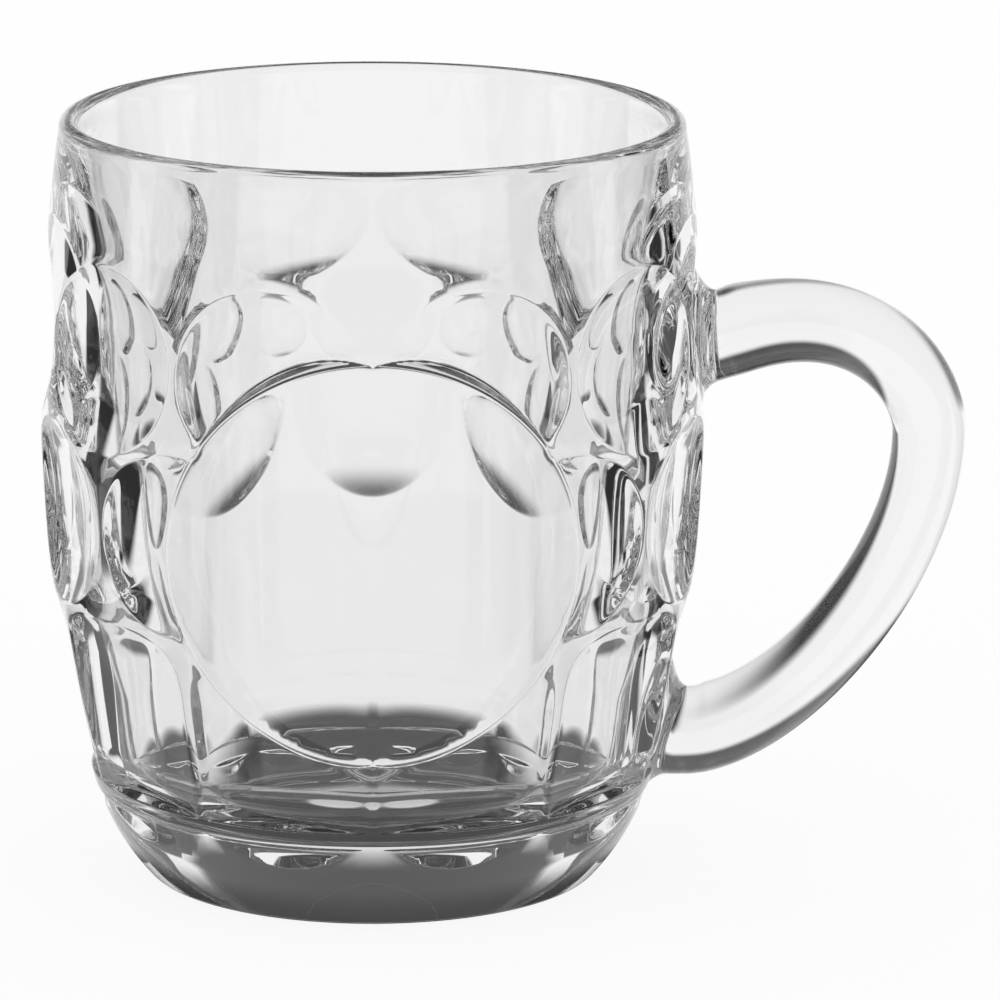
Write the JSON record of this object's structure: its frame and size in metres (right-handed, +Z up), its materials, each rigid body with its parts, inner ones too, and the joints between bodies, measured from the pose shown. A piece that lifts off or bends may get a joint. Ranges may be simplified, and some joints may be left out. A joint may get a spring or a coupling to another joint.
{
  "type": "dimpled glass beer mug",
  "caption": "Clear pressed-glass beer mug with rows of round thumb dimples, a smooth round front panel and a solid side handle.",
  "frame": {"origin": "centre of the mug's round base, in the plane that the mug stands on", "axes": "+Z up along the mug's axis, +X towards the handle, -Y towards the round panel at the front"},
  "size_m": [0.124, 0.0888, 0.103],
  "materials": {
    "body_glass": "clear pressed glass, fire-polished",
    "handle_glass": "clear pressed glass, fire-polished"
  },
  "bodies": {
    "root": {"body": "body_glass", "handle": "handle_glass"}
  },
  "joints": []
}
